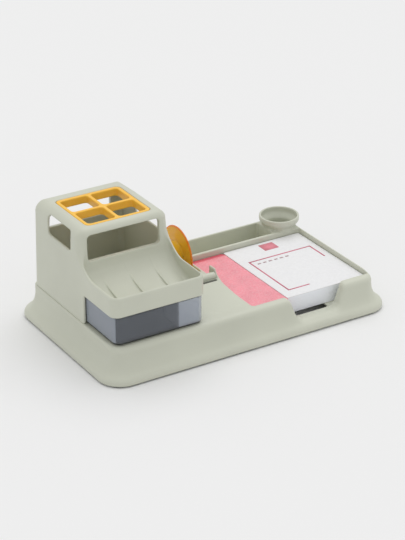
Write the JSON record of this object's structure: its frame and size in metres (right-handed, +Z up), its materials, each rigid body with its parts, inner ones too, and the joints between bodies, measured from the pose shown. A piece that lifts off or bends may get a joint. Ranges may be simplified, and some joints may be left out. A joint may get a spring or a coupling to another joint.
{
  "type": "desk organizer",
  "caption": "Moulded desk organizer with a pen tower, scooped tray, clear drawer, note well, pen tray, clip cup and tape reel.",
  "frame": {"origin": "middle of the footprint, on the surface under the feet", "axes": "+X to the right along the long side, +Y to the back, +Z up"},
  "size_m": [0.305, 0.184, 0.12],
  "materials": {
    "sage_plastic": "satin",
    "orange_plastic": "satin",
    "smoke_clear": "clear",
    "amber_clear": "clear",
    "axle_plastic": "satin",
    "steel": "satin",
    "note_paper": "matte",
    "slip_paper": "matte",
    "foot_rubber": "matte"
  },
  "bodies": {
    "root": {"base_shell": "sage_plastic", "pen_tower": "sage_plastic", "reel_axle": "axle_plastic", "cutter_blade": "steel", "tape_rest_bar": "sage_plastic", "foot_1": "foot_rubber", "foot_2": "foot_rubber", "foot_3": "foot_rubber", "foot_4": "foot_rubber", "foot_5": "foot_rubber", "foot_6": "foot_rubber", "tower_screw_1": "steel", "tower_screw_2": "steel", "tower_screw_3": "steel", "tower_screw_4": "steel"},
    "drawer": {"drawer_tray": "smoke_clear", "drawer_partition": "smoke_clear"},
    "reel": {"reel_half_left": "amber_clear", "reel_half_right": "amber_clear"},
    "grid": {"grid_insert": "orange_plastic"},
    "notes": {"note_block": "note_paper"},
    "slips": {"slip_block": "slip_paper"}
  },
  "joints": [
    {"name": "drawer_slide", "type": "slide", "parent": "root", "child": "drawer", "axis": [0, -1, 0], "range_m": [0, 0.048]},
    {"name": "reel_spin", "type": "hinge", "parent": "root", "child": "reel", "pos_m": [-0.0081, 0.0446, 0.042], "axis": [1, 0, 0], "continuous": true},
    {"name": "grid_lift", "type": "slide", "parent": "root", "child": "grid", "axis": [0, 0, 1], "range_m": [0, 0.02]},
    {"name": "note_lift", "type": "slide", "parent": "root", "child": "notes", "axis": [0, 0, 1], "range_m": [0, 0.008]},
    {"name": "slip_lift", "type": "slide", "parent": "root", "child": "slips", "axis": [0, 0, 1], "range_m": [0, 0.03]}
  ]
}
